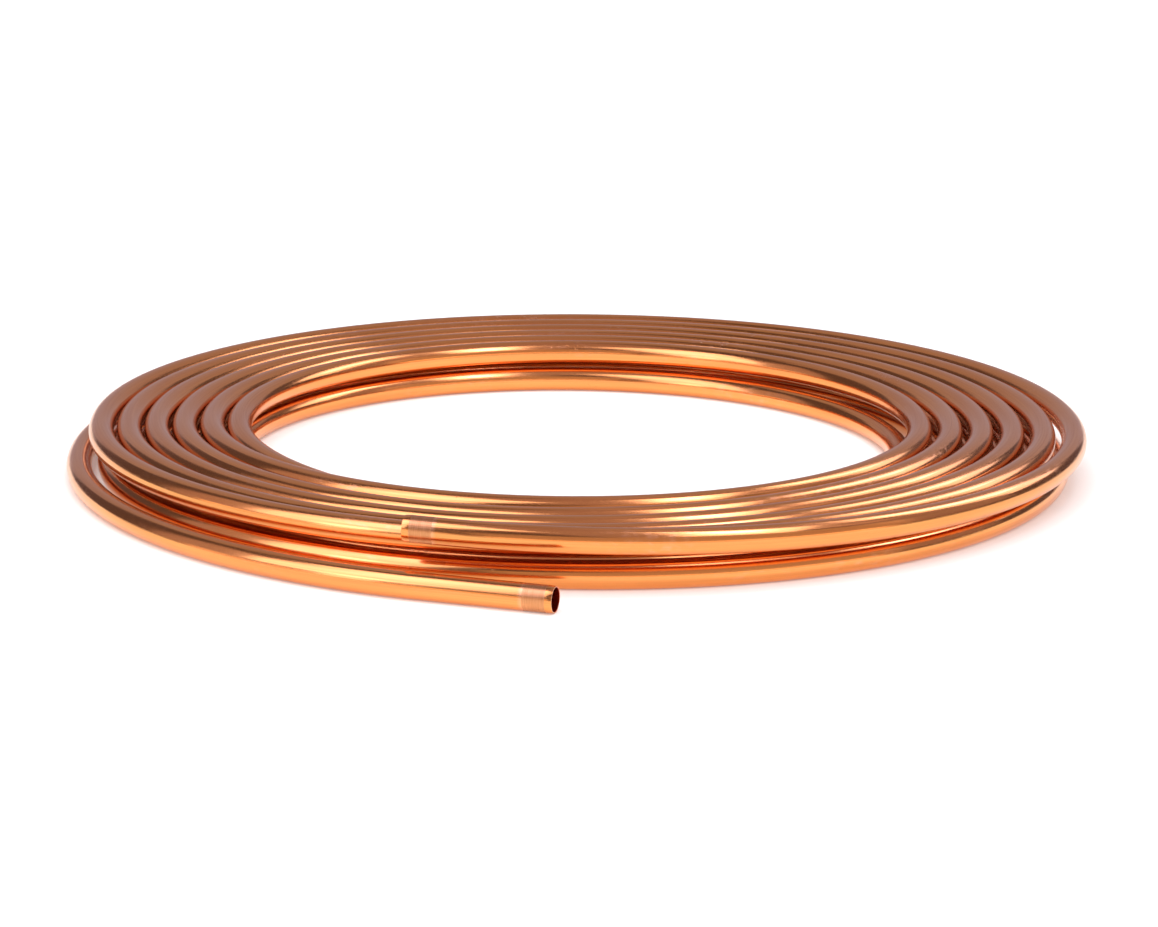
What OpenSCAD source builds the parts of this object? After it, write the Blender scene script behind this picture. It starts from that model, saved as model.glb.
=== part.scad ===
// Pancake coil of soft copper tube: two flat layers wound from one length, lying flat.
// Millimetres, Z up, the origin on the ground under the middle of the coil's outline.
// The lower end points along +X and the upper end nearly along -X, both at the front (-Y).

/* [Tube] */
// Outside diameter of the tube
tube_od = 15.88; // [9.52:0.01:16]
// Wall thickness
tube_wall = 1; // [0.8:0.05:1.5]
// Length over which the tube cutter has rolled each end inwards
cut_taper = 3.6; // [2:0.1:5]
// How far the cutter has rolled in the outer edge of each end
cut_drop = 0.3; // [0.2:0.05:0.5]
// Bevel that the reamer leaves on the inner edge of each end
ream_bevel = 0.2; // [0.1:0.05:0.25]

/* [Coil] */
// Clear diameter of the eye inside the first turn of each layer
eye_d = 420; // [380:0.5:460]
// Turns in each layer
layer_turns = 6; // [3:1:6]
// Gap between turns at the left of the upper layer, where they lie close
close_gap = 1.6; // [1.4:0.1:2.6]
// Gap between turns at the right of the upper layer and the left of the lower one, where they stand open
open_gap = 3.7; // [3:0.1:4.4]
// Gap between turns at the right of the lower layer
lower_gap = 2.2; // [1.8:0.1:3]
// Gap at the left between the outermost turn of the lower layer and the turn inside it
outer_gap = 1.7; // [1.4:0.1:4]
// Gap between the two layers
layer_gap = 2.8; // [2.6:0.1:4]
// How far the lower layer lies to the left of the upper one
lower_shift = 3; // [2.8:0.1:4]
// How far the lower layer's first turn is drawn in at the right, where the change of layer begins
rise_inset = 8.8; // [8.6:0.2:12]

/* [Ends] */
// Gap that the lower end has sprung open to, from the turn inside it
tail_gap = 21.5; // [10:0.5:40]
// Straight length at the lower end
tail_straight = 80; // [30:1:90]
// Gap in plan between the upper end and the turn inside it
lead_gap = 0.8; // [0.6:0.1:3]
// Angle that the last bend goes through before the upper end's straight length
lead_turn = 85; // [80:1:90]
// Straight length at the upper end
lead_straight = 22; // [18:1:30]
// How far the upper end has lifted where its straight length begins
lead_lift = 7.8; // [4:0.2:12]

/* [Hidden] */
$fn = 96;
tube_r = tube_od / 2;
bore_r = tube_r - tube_wall;
first_r = (eye_d + tube_od) / 2;
close_pitch = tube_od + close_gap;
open_pitch = tube_od + open_gap;
lower_pitch = tube_od + lower_gap;
layer_rise = tube_od + layer_gap;
last = layer_turns - 1;
// A tilted bend is this much slimmer all over, so that its ends land inside the lengths that it joins
bend_ease = 0.02;
// How far the upper end's straight length reaches back over its bend
end_lap = 0.05;

// Where turns cross the plane y = 0, in even microns so that two half turns meet exactly
function even(x) = round(x * 500) / 500;
function upper_left(k) = even(-first_r - k * close_pitch);
function upper_right(k) = even(first_r + k * open_pitch);
function lower_left(k) =
    even(k < last ? -first_r - k * open_pitch - lower_shift : lower_left(last - 1) - tube_od - outer_gap);
function lower_right(k) = even((k == 0 ? first_r - rise_inset : first_r + k * lower_pitch) - lower_shift);

// Radii of the two ends' bends, each beyond the outermost turn of its layer
tail_r = even((lower_right(last) - lower_left(last - 1)) / 2 + tube_od + tail_gap);
lead_r = even((upper_right(last - 1) - upper_left(last)) / 2 + tube_od + lead_gap);

// The middle of the outline in plan, seen from the eye's axis
mid_x = even((lower_left(last) + upper_right(last)) / 2);
back_r = max(upper_right(last) - upper_left(last), lower_right(last) - lower_left(last)) / 2;
mid_y = even((back_r - tail_r) / 2);

// The half turn that changes layer, tilted about Y from the lower right to the upper left
rise_x = (lower_right(0) + upper_left(0)) / 2;
rise_half = (lower_right(0) - upper_left(0)) / 2;
rise_r = sqrt(pow(rise_half, 2) + pow(layer_rise / 2, 2));
rise_tilt = atan2(layer_rise / 2, rise_half);

// The upper end's bend, tilted about Y from the right of the upper layer
lead_tilt = asin(lead_lift / (lead_r * (1 - cos(lead_turn))));

// An arc of tube about Z, counted anticlockwise from +X
module arc(radius, from, sweep, ease = 0) {
    rotate_extrude(angle = sweep, start = from)
        translate([radius, 0])
            difference() {
                circle(r = tube_r - ease);
                circle(r = bore_r + ease);
            }
}

// Half a turn between two crossings, behind the plane y = 0 or in front of it
module back_half(left, right) {
    translate([(left + right) / 2, 0, 0])
        arc((right - left) / 2, 0, 180);
}

module front_half(left, right) {
    translate([(left + right) / 2, 0, 0])
        arc((right - left) / 2, 180, 180);
}

// A straight length of tube along +X, rolled in by the cutter and reamed at its far end
module straight_end(length, lap = 0) {
    // With a lap, the near end starts with coned edges, which sink into the bend's wall
    start = lap == 0 ? [] : [[bore_r + lap, -2 * lap], [tube_r - lap, -2 * lap]];
    rotate([0, 90, 0])
        rotate_extrude()
            polygon(concat(start, [
                [tube_r, -lap],
                [tube_r, length - cut_taper],
                [tube_r - cut_drop / 3, length - cut_taper / 3],
                [tube_r - cut_drop, length],
                [bore_r + ream_bevel, length],
                [bore_r, length - ream_bevel],
                [bore_r, -lap]
            ]));
}

module lower_layer() {
    for (k = [0 : last])
        back_half(lower_left(k), lower_right(k));
    for (k = [1 : last])
        front_half(lower_left(k - 1), lower_right(k));
    translate([lower_left(last) + tail_r, 0, 0]) {
        arc(tail_r, 180, 90);
        translate([0, -tail_r, 0])
            straight_end(tail_straight);
    }
}

module rising_half() {
    rotate([0, rise_tilt, 0])
        arc(rise_r, 180, 180, bend_ease);
}

module upper_layer() {
    for (k = [0 : last])
        back_half(upper_left(k), upper_right(k));
    for (k = [1 : last])
        front_half(upper_left(k), upper_right(k - 1));
    translate([upper_right(last), 0, 0])
        rotate([0, lead_tilt, 0])
            translate([-lead_r, 0, 0]) {
                arc(lead_r, 360 - lead_turn, lead_turn, bend_ease);
                rotate([0, 0, -lead_turn])
                    translate([lead_r, 0, 0])
                        rotate([0, 0, -90])
                            straight_end(lead_straight, end_lap);
            }
}

module copper_tube() {
    color([0.72, 0.38, 0.22])
        translate([-mid_x, -mid_y, tube_r]) {
            lower_layer();
            translate([rise_x, 0, layer_rise / 2])
                rising_half();
            translate([0, 0, layer_rise])
                upper_layer();
        }
}

copper_tube();
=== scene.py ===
"""Pancake coil of soft copper tube: one length wound in two flat layers, seen as the photograph shows it."""
import math

import bpy
import numpy as np
from mathutils import Matrix, Vector


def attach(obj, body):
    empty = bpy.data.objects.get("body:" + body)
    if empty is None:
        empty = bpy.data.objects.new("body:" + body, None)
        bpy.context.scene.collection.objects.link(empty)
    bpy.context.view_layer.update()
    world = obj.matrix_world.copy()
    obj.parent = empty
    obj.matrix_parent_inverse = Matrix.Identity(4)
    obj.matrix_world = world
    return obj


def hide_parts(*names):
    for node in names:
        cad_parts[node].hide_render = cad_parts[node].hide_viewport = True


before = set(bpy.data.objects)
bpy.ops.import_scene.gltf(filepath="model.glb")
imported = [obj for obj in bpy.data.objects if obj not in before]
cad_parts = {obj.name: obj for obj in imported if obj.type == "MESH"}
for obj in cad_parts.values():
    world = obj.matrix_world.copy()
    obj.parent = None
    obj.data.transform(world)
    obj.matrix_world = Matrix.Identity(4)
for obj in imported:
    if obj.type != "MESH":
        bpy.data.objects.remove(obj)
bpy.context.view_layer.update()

MM = 0.001

# Sizes of the tube and its winding, the same as in the part's source
TUBE_R = 7.94 * MM
BORE_R = 6.94 * MM
CUT_TAPER = 3.6 * MM
CUT_DROP = 0.3 * MM
REAM = 0.2 * MM
FIRST_R = 217.94 * MM
CLOSE_PITCH = 17.48 * MM
OPEN_PITCH = 19.58 * MM
LOWER_PITCH = 18.08 * MM
OUTER_PITCH = 17.58 * MM
LAYER_RISE = 18.68 * MM
LOWER_SHIFT = 3 * MM
RISE_INSET = 8.8 * MM
TAIL_GAP = 21.5 * MM
TAIL_STRAIGHT = 80 * MM
LEAD_GAP = 0.8 * MM
LEAD_TURN = math.radians(85)
LEAD_STRAIGHT = 22 * MM
LEAD_LIFT = 7.8 * MM
LAST = 5

# How far the upper layer's middle turns have settled at the front, towards the lower layer
FRONT_SAG = 2.2 * MM

# How far behind each cut the band that was rubbed clean ends
CLEAN_BAND = 17.4 * MM

# How finely the tube is drawn: ring to ring on the skin and in the bore, faces round it, rings in a rolled end
SKIN_STEP = 0.0118
BORE_STEP = 2.2 * SKIN_STEP
FACES_ROUND = 36
ROLL_RINGS = 9
SHARP_EDGE = math.radians(35)

# Colours of the drawn skin, from the bright metal to what lies on it
BRIGHT, BLOOMED, DIE_LINE, SCUFFED, NICKED = "#f8a860", "#ee9c58", "#de8e52", "#f2b084", "#7d4326"
EMERY_PALE, EMERY_DARK, EMERY_BORDER = "#de9c6a", "#cc8856", "#f0b48c"
# Colours of the cut rims, the bore and the floor
CUT_PALE, CUT_DARK = "#f4bd97", "#e09a6c"
OIL_RED, OIL_BROWN = "#cc3c1c", "#982010"
PAPER_WHITE = "#f6f6f6"

# Tints of the lights; copper swallows most of the blue
COOL, WHITE, PEARL = (1.0, 1.0, 1.35), (1.0, 0.95, 1.75), (1.05, 1.0, 1.18)
WARM, ROSY = (1.25, 1.0, 0.85), (1.2, 1.0, 1.3)
# What the dim room itself sends in from everywhere
ROOM_GLOW = (0.115, 0.095, 0.125, 1.0)

# The studio round the coil. A row is the name, degrees to the right of the camera's side, degrees up, metres away,
# width and height in metres, radiance, tint and roll in degrees
STUDIO = (
    ("softbox_left", -54, 43, 1.5, 1.1, 1.6, 1.9, COOL, 0),
    ("softbox_left_core", -52, 50, 1.45, 0.5, 0.6, 0.7, WHITE, 0),
    ("softbox_left_foot", -49, 15, 1.5, 0.3, 0.5, 1.6, COOL, 0),
    ("softbox_right", 55, 59, 1.5, 0.55, 1.1, 1.9, COOL, -36),
    ("softbox_right_core", 56, 61, 1.45, 0.22, 0.6, 4.0, WHITE, -36),
    ("softbox_far_right", 119, 38, 1.5, 0.65, 1.05, 1.9, COOL, 0),
    ("softbox_far_right_core", 120, 42, 1.45, 0.2, 0.6, 2.5, WHITE, 0),
    ("left_wall", -82, 25, 2.6, 2.0, 2.0, 0.3, ROSY, 0),
    ("right_wall", 90, 28, 2.6, 1.6, 2.0, 0.2, ROSY, 0),
    ("front_wall", 28, 21, 3.2, 6.6, 2.6, 0.35, WARM, 0),
    ("front_sill", 25, 5, 3.4, 6.4, 0.6, 0.8, WARM, 0),
    ("left_sill", -58, 5, 3.2, 4.2, 0.6, 0.8, WARM, 0),
    ("ceiling", 50, 76, 2.6, 3.0, 3.0, 0.23, ROSY, 0),
    ("back_wall", 182, 32, 3.6, 4.8, 4.5, 0.27, PEARL, 0),
)
# The light on the floor alone: how far round it comes from, and its lean towards the camera
WASH_SPREAD = math.radians(90)
WASH_LEAN = math.radians(25)

# The camera that took the photograph: angles in degrees, the rest in metres, lens and sensor in millimetres
CAMERA_TURN = 18.84
CAMERA_HEIGHT = 13.7
CAMERA_ROLL = 0.5
CAMERA_AWAY = 2.6158
CAMERA_AIM = (0.0007, 0.01404, 0.0)
CAMERA_LENS = 126.36
CAMERA_SENSOR = 36.0
CAMERA_REACH = 50.0


def to_linear(code):
    """Linear RGBA of an sRGB hex colour."""
    srgb = np.array([int(code[i:i + 2], 16) for i in (1, 3, 5)]) / 255
    low, high = srgb / 12.92, ((srgb + 0.055) / 1.055) ** 2.4
    return (*np.where(srgb <= 0.04045, low, high).tolist(), 1.0)


def add(tree, kind, inputs=None, give=0, **settings):
    """Adds a node with its settings and gives one of its outputs; an input is a value, or an output to link."""
    node = tree.nodes.new(kind)
    for name, value in settings.items():
        setattr(node, name, value)
    for socket, value in (inputs or {}).items():
        if isinstance(value, bpy.types.NodeSocket):
            tree.links.new(value, node.inputs[socket])
        else:
            node.inputs[socket].default_value = value
    return node.outputs[give] if len(node.outputs) else None


# Where turn k of each layer crosses the plane y = 0, counted outwards from 0
def upper_left(k):
    return -FIRST_R - k * CLOSE_PITCH


def upper_right(k):
    return FIRST_R + k * OPEN_PITCH


def lower_left(k):
    return -FIRST_R - k * OPEN_PITCH - LOWER_SHIFT if k < LAST else lower_left(LAST - 1) - OUTER_PITCH


def lower_right(k):
    return (FIRST_R - RISE_INSET if k == 0 else FIRST_R + k * LOWER_PITCH) - LOWER_SHIFT


def winding_arcs():
    """The arcs that the tube follows from its lower end to its upper end, one row each, and the outline's middle.

    A row is the centre's x and z, the radius, the tilt about Y, the first and last angle and the sag. Each half
    turn runs clockwise between two crossings of the plane y = 0: back halves keep their turn's number, front
    halves lead from one turn to the next. One tilted half turn changes layer, and the last bend lifts by its tilt.
    """
    z_low, z_high = TUBE_R, TUBE_R + LAYER_RISE
    back, front = math.pi, 2 * math.pi

    def half(left, right, z, first, sag=0.0):
        return [(left + right) / 2, z, (right - left) / 2, 0.0, first, first - math.pi, sag]

    tail_r = (lower_right(LAST) - lower_left(LAST - 1)) / 2 + 2 * TUBE_R + TAIL_GAP
    rows = [[lower_left(LAST) + tail_r, z_low, tail_r, 0.0, 1.5 * math.pi, math.pi, 0.0]]
    for k in range(LAST, -1, -1):
        rows.append(half(lower_left(k), lower_right(k), z_low, back))
        if k:
            rows.append(half(lower_left(k - 1), lower_right(k), z_low, front))
    rise_x, rise_half = (lower_right(0) + upper_left(0)) / 2, (lower_right(0) - upper_left(0)) / 2
    rise_r, rise_tilt = math.hypot(rise_half, LAYER_RISE / 2), math.atan2(LAYER_RISE / 2, rise_half)
    rows.append([rise_x, (z_low + z_high) / 2, rise_r, rise_tilt, front, back, 0.0])
    for k in range(LAST + 1):
        rows.append(half(upper_left(k), upper_right(k), z_high, back))
        if k < LAST:
            sag = FRONT_SAG if 0 < k < LAST - 1 else 0.0
            rows.append(half(upper_left(k + 1), upper_right(k), z_high, front, sag))
    lead_r = (upper_right(LAST - 1) - upper_left(LAST)) / 2 + 2 * TUBE_R + LEAD_GAP
    tilt = math.asin(LEAD_LIFT / (lead_r * (1 - math.cos(LEAD_TURN))))
    lead_x, lead_z = upper_right(LAST) - lead_r * math.cos(tilt), z_high + lead_r * math.sin(tilt)
    rows.append([lead_x, lead_z, lead_r, tilt, front, front - LEAD_TURN, 0.0])
    mid_x = (lower_left(LAST) + upper_right(LAST)) / 2
    back_r = max(upper_right(LAST) - upper_left(LAST), lower_right(LAST) - lower_left(LAST)) / 2
    mid_y = (back_r - tail_r) / 2
    return np.array(rows, dtype=float), np.array([mid_x, mid_y, 0.0])


def arc_lengths(arcs):
    """Length of each arc: its radius times the angle that it goes through."""
    return arcs[:, 2] * np.abs(arcs[:, 5] - arcs[:, 4])


def centreline(arcs, s):
    """Points and directions of travel at lengths s along the arcs.

    A point is centre + radius (cos a · across + sin a · away), with the angle a in step with the length. An arc
    that sags drops by sag · sin² (pi · the share of it gone), so that its ends stay level. Before the first arc
    and after the last the tube runs straight on.
    """
    lengths = arc_lengths(arcs)
    starts = np.concatenate([[0.0], np.cumsum(lengths)])
    held = np.clip(s, 0.0, starts[-1])
    i = np.clip(np.searchsorted(starts, held, side="right") - 1, 0, len(arcs) - 1)
    x, z, radius, tilt, first, final, sag = arcs[i].T
    share = (held - starts[i]) / lengths[i]
    a = first + (final - first) * share
    z = z - sag * np.sin(math.pi * share) ** 2
    zero = np.zeros_like(a)
    across = np.stack([np.cos(tilt), zero, -np.sin(tilt)], axis=1)
    away = np.array([0.0, 1.0, 0.0])
    ca, sa = np.cos(a)[:, None], np.sin(a)[:, None]
    travel = sa * across - ca * away
    point = np.stack([x, zero, z], axis=1) + radius[:, None] * (ca * across + sa * away)
    return point + (s - held)[:, None] * travel, travel


def tube_rings(s0, s1):
    """Length along the winding, radius and finish of each ring of the tube, from the cut at s0 to the one at s1.

    The rings lead out along the skin and back along the bore. The skin's radius falls by a parabola towards each
    cut, where the cutter rolled it in. A ring's finish is that of the faces between it and the next: 0 for the
    skin, 1 for a cut rim, 2 for the bore with its reamed edges.
    """
    t = np.linspace(0.0, 1.0, ROLL_RINGS)
    roll_s = CUT_TAPER * t
    roll_r = TUBE_R - CUT_DROP * (1 - t) ** 2
    skin_s = np.linspace(s0 + CUT_TAPER, s1 - CUT_TAPER, int((s1 - s0) / SKIN_STEP))[1:-1]
    bore_s = np.linspace(s1 - REAM, s0 + REAM, int((s1 - s0) / BORE_STEP))
    skin_r, bore_r = np.full_like(skin_s, TUBE_R), np.full_like(bore_s, BORE_R)
    reamed = [BORE_R + REAM]
    s = np.concatenate([s0 + roll_s, skin_s, (s1 - roll_s)[::-1], [s1], bore_s, [s0]])
    r = np.concatenate([roll_r, skin_r, roll_r[::-1], reamed, bore_r, reamed])
    bore_first = len(skin_s) + 2 * ROLL_RINGS
    finish = np.zeros(len(s), dtype=np.int32)
    finish[[bore_first - 1, -1]] = 1
    finish[bore_first:-1] = 2
    return s, r, finish


def tube_surface(name, arcs, middle):
    """One closed tube: a round profile carried along the winding, out along the skin and back along the bore.

    Row i of the grid is a ring of radius r(i) about the centreline at length s(i), column j its angle u; the last
    row joins the first and the last column the first, so the grid closes both ways. The attribute as_drawn keeps
    each point's place on the tube before it was coiled: r cos u, r sin u, s.
    """
    s0, s1 = -TAIL_STRAIGHT, float(arc_lengths(arcs).sum()) + LEAD_STRAIGHT
    s, r, finish = tube_rings(s0, s1)
    u = np.arange(FACES_ROUND) * (2 * math.pi / FACES_ROUND)

    point, travel = centreline(arcs, s)
    rise = np.array([0.0, 0.0, 1.0]) - travel[:, 2:] * travel
    rise /= np.linalg.norm(rise, axis=1, keepdims=True)
    side = np.cross(travel, rise)
    ring = np.cos(u)[None, :, None] * side[:, None, :] + np.sin(u)[None, :, None] * rise[:, None, :]
    co = point[:, None, :] + r[:, None, None] * ring - middle
    along = np.broadcast_to((s - s0)[:, None], (len(s), FACES_ROUND))
    drawn = np.stack([r[:, None] * np.cos(u), r[:, None] * np.sin(u), along], axis=2)

    row, col = np.arange(len(s))[:, None] * FACES_ROUND, np.arange(FACES_ROUND)[None, :]
    next_row, next_col = np.roll(row, -1, axis=0), np.roll(col, -1, axis=1)
    corners = [row + col, next_row + col, next_row + next_col, row + next_col]
    quads = np.stack(corners, axis=2).reshape(-1, 4)

    mesh = bpy.data.meshes.new(name)
    mesh.vertices.add(len(s) * FACES_ROUND)
    mesh.vertices.foreach_set("co", co.ravel())
    mesh.loops.add(quads.size)
    mesh.loops.foreach_set("vertex_index", quads.ravel().astype(np.int32))
    mesh.polygons.add(len(quads))
    mesh.polygons.foreach_set("loop_start", np.arange(len(quads), dtype=np.int32) * 4)
    mesh.polygons.foreach_set("material_index", np.repeat(finish, FACES_ROUND))
    mesh.update(calc_edges=True)
    mesh.polygons.foreach_set("use_smooth", np.ones(len(quads), dtype=bool))
    mesh.set_sharp_from_angle(angle=SHARP_EDGE)
    mesh.attributes.new("as_drawn", "FLOAT_VECTOR", "POINT").data.foreach_set("vector", drawn.ravel())
    piece = bpy.data.objects.new(name, mesh)
    bpy.context.collection.objects.link(piece)
    return piece


def bare_finish(name):
    """A material with no shader yet, its node tree, and each point's place on the tube before it was coiled."""
    material = bpy.data.materials.new(name)
    material.use_nodes = True
    tree = material.node_tree
    tree.nodes.clear()
    return material, tree, add(tree, "ShaderNodeAttribute", give="Vector", attribute_name="as_drawn")


def drawn_copper(length):
    """Soft copper tube as it leaves the drawing bench and the bright annealing furnace.

    The die leaves a satin mirror with fine lines along the tube, and handling leaves a faint brown bloom, pale
    scuffs and a few dark nicks. Behind each cut, which the wheel has burnished, a band was rubbed round with
    emery: it is dull and pinkish, with scratches round the tube and a paler ring where the rubbing fades out.
    """
    material, tree, place = bare_finish("copper_bright_annealed_drawn")

    def grain(wide, long, detail):
        """Noise with patches of the given width round the tube and length along it."""
        scale = (1 / wide, 1 / wide, 1 / long)
        scaled = add(tree, "ShaderNodeMapping", {"Vector": place, "Scale": scale})
        return add(tree, "ShaderNodeTexNoise", {"Vector": scaled, "Scale": 1.0, "Detail": detail})

    def marks(spots, spots_from, spots_full, patches, patches_from, patches_full):
        """Spots of one grain inside patches of another, each rising from nothing to full between two levels."""
        spot = add(tree, "ShaderNodeMapRange", {"Value": spots, "From Min": spots_from, "From Max": spots_full})
        patch = add(tree, "ShaderNodeMapRange", {
            "Value": patches, "From Min": patches_from, "From Max": patches_full,
        })
        return add(tree, "ShaderNodeMath", {0: spot, 1: patch}, operation="MULTIPLY")

    # Die lines are hundredths of a millimetre wide; they are drawn 0.7 mm wide and 150 mm long so that they show
    lines = grain(0.7 * MM, 150 * MM, 3.0)
    # Bloom of thin oxide in patches about 9 mm wide and 90 mm long
    bloom = grain(9 * MM, 90 * MM, 4.0)
    # Emery scratches round the tube, drawn 0.5 mm apart so that they show
    scratches = grain(9 * MM, 0.5 * MM, 2.0)
    # Nicks of about 1 mm, only inside rare patches of about 16 by 40 mm
    nicks = marks(grain(1.6 * MM, 1.2 * MM, 1.0), 0.68, 0.76, grain(16 * MM, 40 * MM, 1.0), 0.68, 0.74)
    # Pale scuffs 3 mm wide and 6 mm long, in patches of about 30 by 80 mm
    scuffs = marks(grain(3 * MM, 6 * MM, 5.0), 0.5, 0.7, grain(30 * MM, 80 * MM, 1.0), 0.52, 0.7)

    # How far each point lies behind the nearer cut
    along = add(tree, "ShaderNodeSeparateXYZ", {0: place}, give="Z")
    from_mid = add(tree, "ShaderNodeMath", {0: along, 1: length / 2}, operation="SUBTRACT")
    off_mid = add(tree, "ShaderNodeMath", {0: from_mid}, operation="ABSOLUTE")
    behind = add(tree, "ShaderNodeMath", {0: length / 2, 1: off_mid}, operation="SUBTRACT")

    def ring(comes, there, fades, gone, most):
        """A ring round the tube that comes and goes between the given distances behind the cut."""
        near = add(tree, "ShaderNodeMapRange", {"Value": behind, "From Min": comes, "From Max": there})
        far = add(tree, "ShaderNodeMapRange", {
            "Value": behind, "From Min": gone, "From Max": fades, "To Max": most,
        })
        return add(tree, "ShaderNodeMath", {0: near, 1: far}, operation="MULTIPLY")

    # The rubbed band ends within 0.4 mm, and its paler border fades from 1 to 3 mm past it
    band_end = CLEAN_BAND + 0.4 * MM
    rubbed = ring(CUT_TAPER + 0.4 * MM, CUT_TAPER + 0.7 * MM, CLEAN_BAND, band_end, 1.0)
    border = ring(CLEAN_BAND, band_end, CLEAN_BAND + 1 * MM, CLEAN_BAND + 3 * MM, 0.5)

    # How far each finish covers those under it, from the bright metal outwards
    bloom_share = add(tree, "ShaderNodeMapRange", {"Value": bloom, "From Min": 0.3, "From Max": 0.7})
    line_share = add(tree, "ShaderNodeMapRange", {
        "Value": lines, "From Min": 0.35, "From Max": 0.75, "To Max": 0.6,
    })
    scratch_share = add(tree, "ShaderNodeMapRange", {"Value": scratches, "From Min": 0.3, "From Max": 0.7})
    scuff_share = add(tree, "ShaderNodeMath", {0: scuffs, 1: 0.5}, operation="MULTIPLY")
    nick_share = add(tree, "ShaderNodeMath", {0: nicks, 1: 0.6}, operation="MULTIPLY")
    emery = add(tree, "ShaderNodeMix", {
        0: scratch_share, 6: to_linear(EMERY_PALE), 7: to_linear(EMERY_DARK),
    }, give=2, data_type="RGBA")
    skin = to_linear(BRIGHT)
    for share, colour in (
        (bloom_share, to_linear(BLOOMED)),
        (line_share, to_linear(DIE_LINE)),
        (rubbed, emery),
        (border, to_linear(EMERY_BORDER)),
        (scuff_share, to_linear(SCUFFED)),
        (nick_share, to_linear(NICKED)),
    ):
        skin = add(tree, "ShaderNodeMix", {0: share, 6: skin, 7: colour}, give=2, data_type="RGBA")

    # The satin of the die is duller under bloom, lines and scuffs, and dullest where emery went
    cover = add(tree, "ShaderNodeMath", {0: bloom, 1: lines}, operation="ADD")
    satin = add(tree, "ShaderNodeMapRange", {
        "Value": cover, "From Min": 0.7, "From Max": 1.3, "To Min": 0.13, "To Max": 0.23,
    })
    satin = add(tree, "ShaderNodeMath", {0: scuffs, 1: 0.1, 2: satin}, operation="MULTIPLY_ADD")
    worn = add(tree, "ShaderNodeMath", {0: rubbed, 1: border}, operation="MAXIMUM")
    dull = add(tree, "ShaderNodeMix", {0: worn, 2: satin, 3: 0.3})
    relief = add(tree, "ShaderNodeBump", {"Height": lines, "Strength": 0.2, "Distance": 0.2 * MM})
    relief = add(tree, "ShaderNodeBump", {
        "Height": nicks, "Strength": 0.3, "Distance": 0.2 * MM, "Normal": relief,
    }, invert=True)
    shader = add(tree, "ShaderNodeBsdfPrincipled", {
        "Base Color": skin, "Metallic": 1.0, "Roughness": dull, "Normal": relief,
    })
    add(tree, "ShaderNodeOutputMaterial", {"Surface": shader})
    return material


def cut_rim():
    """Copper freshly parted by a cutting wheel: a thin pale ring, burnished round the tube."""
    material, tree, place = bare_finish("copper_wheel_cut")
    # Chatter of the wheel, about 1 mm apart round the rim
    chatter = add(tree, "ShaderNodeTexNoise", {"Vector": place, "Scale": 1 / MM, "Detail": 2.0})
    skin = add(tree, "ShaderNodeMix", {
        0: chatter, 6: to_linear(CUT_PALE), 7: to_linear(CUT_DARK),
    }, give=2, data_type="RGBA")
    relief = add(tree, "ShaderNodeBump", {"Height": chatter, "Strength": 0.2, "Distance": 0.2 * MM})
    shader = add(tree, "ShaderNodeBsdfPrincipled", {
        "Base Color": skin, "Metallic": 1.0, "Roughness": 0.3, "Normal": relief,
    })
    add(tree, "ShaderNodeOutputMaterial", {"Surface": shader})
    return material


def dark_bore():
    """The inside of the tube: copper with the drawing oil baked on, a dark red brown that is dull and streaked."""
    material, tree, place = bare_finish("copper_bore_oil_baked")
    # Streaks 1.5 mm wide and 40 mm long
    scale = (1 / (1.5 * MM), 1 / (1.5 * MM), 1 / (40 * MM))
    scaled = add(tree, "ShaderNodeMapping", {"Vector": place, "Scale": scale})
    streaks = add(tree, "ShaderNodeTexNoise", {"Vector": scaled, "Scale": 1.0, "Detail": 3.0})
    skin = add(tree, "ShaderNodeMix", {
        0: streaks, 6: to_linear(OIL_RED), 7: to_linear(OIL_BROWN),
    }, give=2, data_type="RGBA")
    shader = add(tree, "ShaderNodeBsdfPrincipled", {"Base Color": skin, "Metallic": 1.0, "Roughness": 0.35})
    add(tree, "ShaderNodeOutputMaterial", {"Surface": shader})
    return material


def pale_floor(width, depth, ahead):
    """A flat sheet of matt white paper on the ground, its middle beyond the coil as the camera looks."""
    x, y = np.meshgrid([-width / 2, width / 2], [ahead - depth / 2, ahead + depth / 2])
    turn = math.radians(CAMERA_TURN)
    across, away = x * math.cos(turn) - y * math.sin(turn), x * math.sin(turn) + y * math.cos(turn)
    co = np.stack([across, away, np.zeros_like(x)], axis=2)
    mesh = bpy.data.meshes.new("floor")
    mesh.from_pydata(co.reshape(-1, 3).tolist(), [], [(0, 1, 3, 2)])
    floor = bpy.data.objects.new("floor", mesh)
    bpy.context.collection.objects.link(floor)
    paper = bpy.data.materials.new("matt_white_paper")
    paper.use_nodes = True
    shader = paper.node_tree.nodes["Principled BSDF"]
    shader.inputs["Base Color"].default_value = to_linear(PAPER_WHITE)
    shader.inputs["Roughness"].default_value = 0.9
    shader.inputs["Specular IOR Level"].default_value = 0.1
    mesh.materials.append(paper)
    return floor


def lit_alone(lamp, piece):
    """Lets a lamp light one object and nothing else."""
    lit = bpy.data.collections.new(f"{lamp.name}_lights")
    lit.objects.link(piece)
    lamp.light_linking.receiver_collection = lit


def floor_wash(name, floor, strength, shaded):
    """Even light from high in front that falls on the floor alone, so that it reads as plain white paper.

    The part of it that isn't shaded by the coil stands for the light that a white studio sends in from all sides.
    """
    light = bpy.data.lights.new(name, "SUN")
    light.energy, light.angle = strength, WASH_SPREAD
    lamp = bpy.data.objects.new(name, light)
    turned = Matrix.Rotation(math.radians(CAMERA_TURN), 4, "Z")
    lamp.matrix_world = turned @ Matrix.Rotation(WASH_LEAN, 4, "X")
    bpy.context.collection.objects.link(lamp)
    lit_alone(lamp, floor)
    if not shaded:
        lamp.light_linking.blocker_collection = lamp.light_linking.receiver_collection


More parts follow.
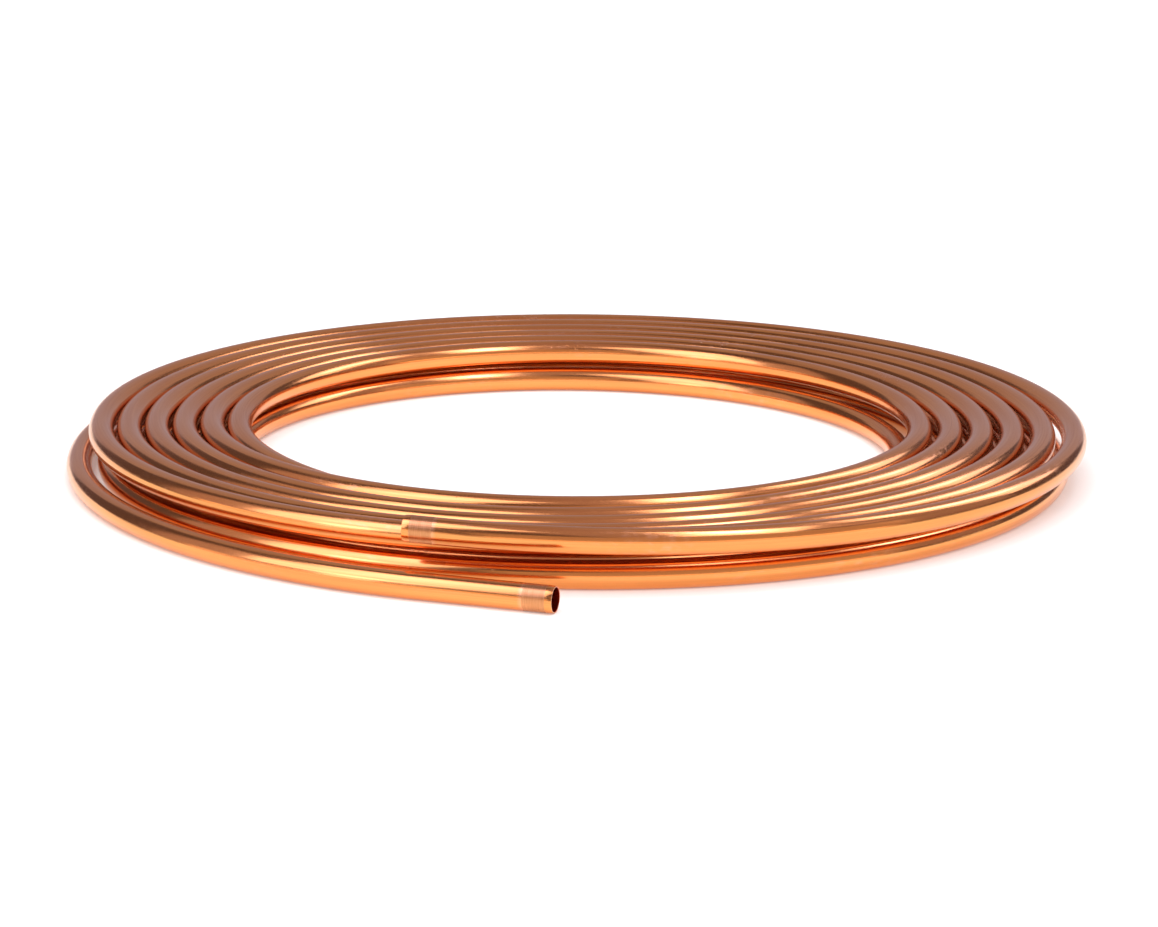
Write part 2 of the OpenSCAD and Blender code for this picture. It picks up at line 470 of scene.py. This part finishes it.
def softbox(piece, name, azimuth, elevation, away, width, height, radiance, tint, roll):
    """A rectangular area light that looks at the coil and lights it alone, as one row of the studio gives it."""
    a, e = math.radians(azimuth + CAMERA_TURN), math.radians(elevation)
    place = Vector((math.sin(a) * math.cos(e), -math.cos(a) * math.cos(e), math.sin(e))) * away
    light = bpy.data.lights.new(name, "AREA")
    light.shape, light.size, light.size_y = "RECTANGLE", width, height
    light.energy, light.color = radiance * math.pi * width * height, tint
    lamp = bpy.data.objects.new(name, light)
    facing = place.to_track_quat("Z", "Y").to_matrix().to_4x4() @ Matrix.Rotation(math.radians(roll), 4, "Z")
    lamp.matrix_world = Matrix.Translation(place) @ facing
    lamp.visible_camera = False
    bpy.context.collection.objects.link(lamp)
    lit_alone(lamp, piece)


# The tube
arcs, middle = winding_arcs()
length = float(arc_lengths(arcs).sum()) + TAIL_STRAIGHT + LEAD_STRAIGHT
tube = tube_surface("coiled_tube", arcs, middle)
for finish in (drawn_copper(length), cut_rim(), dark_bore()):
    tube.data.materials.append(finish)
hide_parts("copper_tube")
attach(tube, "root")

# The floor, wide enough to fill the view, and the lights
floor = pale_floor(width=9.0, depth=11.0, ahead=1.4)
floor_wash("floor_wash", floor, strength=2.5, shaded=True)
floor_wash("floor_fill", floor, strength=1.9, shaded=False)
for row in STUDIO:
    softbox(tube, *row)
world = bpy.data.worlds.new("dim_room")
world.use_nodes = True
world.node_tree.nodes["Background"].inputs["Color"].default_value = ROOM_GLOW
bpy.context.scene.world = world
bpy.context.scene.view_settings.view_transform = "Standard"

# The camera
camera = bpy.data.objects.new("camera", bpy.data.cameras.new("camera"))
camera.data.sensor_fit, camera.data.sensor_width = "HORIZONTAL", CAMERA_SENSOR
camera.data.lens = CAMERA_LENS
camera.data.clip_end = CAMERA_REACH
turned = (
    Matrix.Rotation(math.radians(CAMERA_TURN), 4, "Z")
    @ Matrix.Rotation(math.radians(90 - CAMERA_HEIGHT), 4, "X")
    @ Matrix.Rotation(math.radians(CAMERA_ROLL), 4, "Z")
)
stand = Vector(CAMERA_AIM) + turned.to_3x3() @ Vector((0, 0, CAMERA_AWAY))
camera.matrix_world = Matrix.Translation(stand) @ turned
bpy.context.collection.objects.link(camera)
bpy.context.scene.camera = camera
